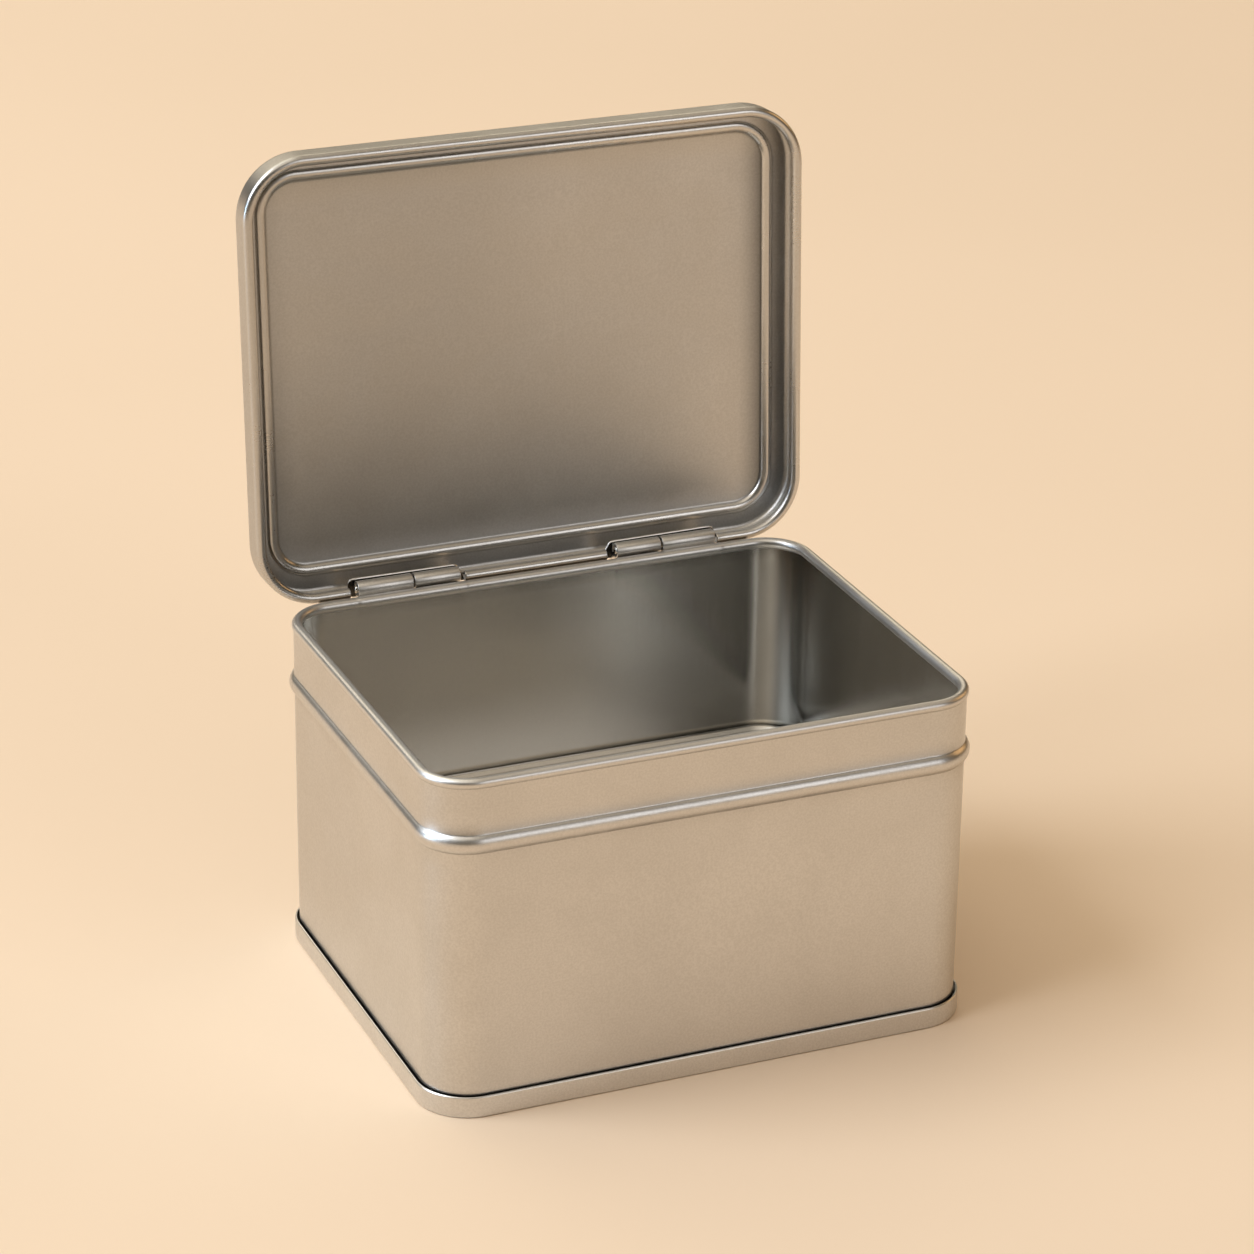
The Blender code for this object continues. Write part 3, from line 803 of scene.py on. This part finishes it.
for side, sign in (("left", -1), ("right", 1)):
    x_in, x_mid, x_out = sign * HINGE_IN, sign * HINGE_MID, sign * HINGE_OUT
    x_lid, x_body = x_mid - sign * KNUCKLE_GAP / 2, x_mid + sign * KNUCKLE_GAP / 2

    lower = [(foot, -9.2 * MM), (foot, -6.4 * MM), (foot, -3.6 * MM)]
    rolled = [(foot, -3.6 * MM), (foot + 0.05 * MM, -3.1 * MM), (-roll - 0.04 * MM, -2.3 * MM), (-roll, -1.7 * MM), (-roll, -0.8 * MM)]
    rolled += circle_run(180, -122, 7.5)
    tongue = [(foot, -3.6 * MM), (foot, -2.7 * MM), (foot + 0.12 * MM, -2.42 * MM), (foot + 0.4 * MM, -2.28 * MM), (0.53 * MM, -2.28 * MM)]
    # the tongue under the lid's knuckle is painted dark: a painted shadow in the gap there
    leaf = strip_piece(
        "body_leaf_strip_" + side,
        [
            (lower, x_in, x_lid),
            (lower, x_lid, x_body),
            (lower, x_body, x_out),
            (rolled, x_body, x_out),
            (tongue, x_in, x_lid),
        ],
        axis_place,
        HINGE_MAT,
        shaded_at=lambda co: -2.7 * MM < co.z < -1.95 * MM and co.y > foot + 0.05 * MM and (co.x - x_lid) * sign < 0,
    )
    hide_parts("hinge_body_leaf_" + side)
    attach(leaf, "body")

    hug_r = LID_CORNER + 0.19 * MM + LEAF / 2
    hug_y, hug_z = LID_REAR + LID_TUBE - LID_CORNER, LID_LIFT + LID_DEPTH - LID_CORNER
    y_out = hug_y + hug_r
    rise = [(roll, 0.0), (roll, 0.5 * MM), (roll + 0.12 * MM, 1.0 * MM), (y_out - 0.25 * MM, 2.1 * MM), (y_out, 2.7 * MM)]
    plate = [(y_out, 2.7 * MM), (y_out, 3.6 * MM), (y_out, hug_z)]
    plate += [
        (hug_y + hug_r * math.cos(math.radians(a)), hug_z + hug_r * math.sin(math.radians(a)))
        for a in range(9, 91, 9)
    ]
    plate += [(hug_y - 1.0 * MM, hug_z + hug_r), (hug_y - 2.0 * MM, hug_z + hug_r)]
    leaf = strip_piece(
        "lid_leaf_strip_" + side,
        [
            (circle_run(-300, 0, 7.5), x_in, x_lid),
            (rise, x_in, x_lid),
            (plate, x_in, x_lid),
            (plate, x_lid, x_out),
        ],
        lid_place,
        HINGE_MAT,
    )
    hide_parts("hinge_lid_leaf_" + side)
    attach(leaf, "lid")

    # the upturned edge of the lid's cut-out, which stands behind the knuckles
    y_hem = 1.9 * MM
    hem = [
        (sign * 15.0 * MM, -2.0 * MM), (sign * 15.1 * MM, -1.4 * MM), (sign * 15.35 * MM, -0.7 * MM),
        (sign * 15.75 * MM, -0.05 * MM), (sign * 16.1 * MM, 0.45 * MM), (sign * 16.35 * MM, 0.95 * MM),
        (sign * 16.8 * MM, 1.3 * MM), (sign * 17.5 * MM, 1.36 * MM), (sign * 24.0 * MM, 1.40 * MM),
        (sign * 31.0 * MM, 1.44 * MM), (sign * 37.4 * MM, 1.50 * MM), (sign * 38.6 * MM, 1.47 * MM),
        (sign * 39.25 * MM, 1.22 * MM), (sign * 39.5 * MM, 0.75 * MM), (sign * 39.6 * MM, 0.0),
        (sign * 39.7 * MM, -1.0 * MM), (sign * 39.75 * MM, -2.0 * MM),
    ]
    bm = bmesh.new()
    shade_paint = bm.verts.layers.float.new("painted_shade")
    bend_wear_and_shade = bm.verts.layers.float.new("bend")
    rows = []
    for x, z in hem:
        row = []
        # the edge's front face is painted dark: a painted shadow in the gap behind the knuckles
        for y, drop, front_shade in (
            (y_hem + 0.02 * MM, 0.50 * MM, 1.0),
            (y_hem - 0.03 * MM, 0.29 * MM, 1.0),
            (y_hem - 0.05 * MM, 0.25 * MM, 0.0),
            (y_hem + 0.045 * MM, 0.03 * MM, 0.0),
            (y_hem + 0.15 * MM, -0.02 * MM, 0.0),
            (y_hem + 0.26 * MM, 0.03 * MM, 0.0),
            (y_hem + 0.30 * MM, 0.12 * MM, 0.0),
            (y_hem + 0.28 * MM, 0.42 * MM, 0.0),
        ):
            v = bm.verts.new((x, y, z - drop))
            # 120 marks the edge as a polished bend, painted lighter, partly as a highlight
            v[shade_paint], v[bend_wear_and_shade] = front_shade, 120.0
            row.append(v)
        front = bm.verts.new((x, y_hem + 0.02 * MM, min(z - 0.5 * MM, -2.3 * MM)))
        back = bm.verts.new((x, y_hem + 0.28 * MM, min(z - 0.5 * MM, -2.3 * MM)))
        front[shade_paint], back[shade_paint] = 1.0, 0.0
        rows.append([front] + row + [back])
    for p, q in zip(rows, rows[1:]):
        for k in range(len(p)):
            m = (k + 1) % len(p)
            bm.faces.new((p[k], q[k], q[m], p[m]))
    bm.faces.new(rows[0])
    bm.faces.new(list(reversed(rows[-1])))
    bmesh.ops.recalc_face_normals(bm, faces=bm.faces)
    flange = new_object("lid_cut_out_edge_" + side, bm, LIGHTENED_EDGE_MAT)
    flange.data.shade_smooth()
    flange.data.set_sharp_from_angle(angle=math.radians(50))
    flange.data.transform(axis_place)
    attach(flange, "lid")

    # the pin: wire with cropped, rounded ends
    x0, x1 = sorted((sign * (HINGE_IN - 0.1 * MM), sign * (HINGE_OUT + 0.5 * MM)))
    stops = [(x0, 0.35), (x0 + 0.05 * MM, 0.68), (x0 + 0.15 * MM, 0.88), (x0 + 0.32 * MM, 0.985), (x0 + 0.5 * MM, 1.0)]
    stops += [(x0 + (x1 - x0) * k / 12, 1.0) for k in range(1, 12)]
    stops += [(x1 - (x - x0), r) for x, r in reversed(stops[:5])]
    bm = bmesh.new()
    bend_wear_and_shade = bm.verts.layers.float.new("bend")
    loops = []
    for x, r in stops:
        loops.append(
            [
                bm.verts.new((x, PIN_R * r * math.cos(k * math.pi / 16), PIN_R * r * math.sin(k * math.pi / 16)))
                for k in range(32)
            ]
        )
    for a, b in zip(loops, loops[1:]):
        for k in range(32):
            m = (k + 1) % 32
            bm.faces.new((a[k], a[m], b[m], b[k]))
    bm.faces.new(list(reversed(loops[0])))
    bm.faces.new(loops[-1])
    bmesh.ops.recalc_face_normals(bm, faces=bm.faces)
    for v in bm.verts:
        # 120 marks the pin as a polished bend, painted lighter, partly as a highlight
        v[bend_wear_and_shade] = 120.0
    pin = new_object("pin_wire_" + side, bm, PIN_MAT)
    pin.data.shade_smooth()
    pin.data.set_sharp_from_angle(angle=math.radians(50))
    pin.data.transform(axis_place)
    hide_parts("hinge_pin_" + side)
    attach(pin, "body")


# ------------------------------------------------------------------ stage
def paper():
    t = Tree("cream_sweep")
    at = t.nodes.new("ShaderNodeTexCoord").outputs["Object"]
    fibre = t.noise(at, 900.0, 4.0, 0.6)
    cloud = t.noise(at, 3.0, 2.0, 0.5)
    tone = t.ramp(cloud, 0.3, 0.7)
    base = t.mix(tone, (0.825, 0.655, 0.490), (0.845, 0.672, 0.506))
    t.link(base, t.shader.inputs["Base Color"])
    t.shader.inputs["Roughness"].default_value = 0.85
    t.shader.inputs["Specular IOR Level"].default_value = 0.25
    t.link(t.bump(fibre, 0.08, 0.0001), t.shader.inputs["Normal"])
    return t.mat


bm = bmesh.new()
half, steps = 6.0, 8
grid = [
    [bm.verts.new((-half + 2 * half * i / steps, -half + 2 * half * j / steps, 0.0)) for i in range(steps + 1)]
    for j in range(steps + 1)
]
for j in range(steps):
    for i in range(steps):
        bm.faces.new((grid[j][i], grid[j][i + 1], grid[j + 1][i + 1], grid[j + 1][i]))
sweep = new_object("table_sweep", bm, paper())
sweep.location.z = -0.00002

world = bpy.data.worlds.new("studio")
bpy.context.scene.world = world
world.use_nodes = True
world.node_tree.nodes["Background"].inputs["Color"].default_value = (1.0, 0.78, 0.42, 1.0)
world.node_tree.nodes["Background"].inputs["Strength"].default_value = 0.06


def softbox(name, location, target, size_x, size_y, radiance, colour):
    light = bpy.data.lights.new(name, "AREA")
    light.shape = "RECTANGLE"
    light.size, light.size_y = size_x, size_y
    light.energy = radiance * math.pi * size_x * size_y
    light.color = colour
    obj = bpy.data.objects.new(name, light)
    bpy.context.scene.collection.objects.link(obj)
    obj.location = location
    obj.rotation_euler = (Vector(target) - Vector(location)).to_track_quat("-Z", "Y").to_euler()
    return obj


softbox("key", (-2.6, 0.33, 2.25), (0.0, 0.0, 0.05), 2.5, 2.5, 5.1, (0.87, 0.93, 1.0))
softbox("low", (-4.0, 0.5, 0.5), (0.0, 0.05, 0.1), 1.4, 0.8, 8.0, (0.54, 0.75, 1.0))
softbox("top_front", (-1.3, -1.7, 3.6), (-1.3, -1.7, 0.0), 3.4, 3.2, 1.0, (1.0, 0.89, 0.74))
softbox("top_back", (-1.3, 1.9, 3.6), (-1.3, 1.9, 0.0), 3.4, 3.8, 1.5, (1.0, 0.93, 0.77))
softbox("top_right", (1.7, 0.2, 3.6), (1.7, 0.2, 0.0), 2.5, 5.6, 0.5, (1.0, 0.84, 0.66))
softbox("back", (0.25, 4.7, 2.8), (0.0, 0.0, 0.05), 6.5, 1.7, 1.7, (1.0, 0.87, 0.67))
softbox("front", (1.5, -3.7, 1.6), (0.0, 0.0, 0.05), 1.6, 2.3, 1.95, (1.0, 0.98, 0.97))
softbox("right", (4.2, 0.2, 2.0), (0.0, 0.0, 0.05), 2.5, 2.0, 1.4, (1.0, 0.58, 0.25))

# ------------------------------------------------------------------ camera
cam_data = bpy.data.cameras.new("camera")
cam = bpy.data.objects.new("camera", cam_data)
bpy.context.scene.collection.objects.link(cam)
right = Vector((0.921726, -0.387664, 0.011748))
up = Vector((0.144534, 0.371445, 0.917136))
forward = Vector((0.359904, 0.843650, -0.398401))
rotation = Matrix((right, up, -forward)).transposed()
cam.matrix_world = Matrix.Translation((-0.287209, -0.673948, 0.392069)) @ rotation.to_4x4()
cam_data.sensor_width = 36.0
cam_data.lens = 119.917
cam_data.clip_start = 0.02
cam_data.clip_end = 20.0
bpy.context.scene.camera = cam
bpy.context.scene.view_settings.view_transform = "Standard"
bpy.context.scene.view_settings.look = "None"
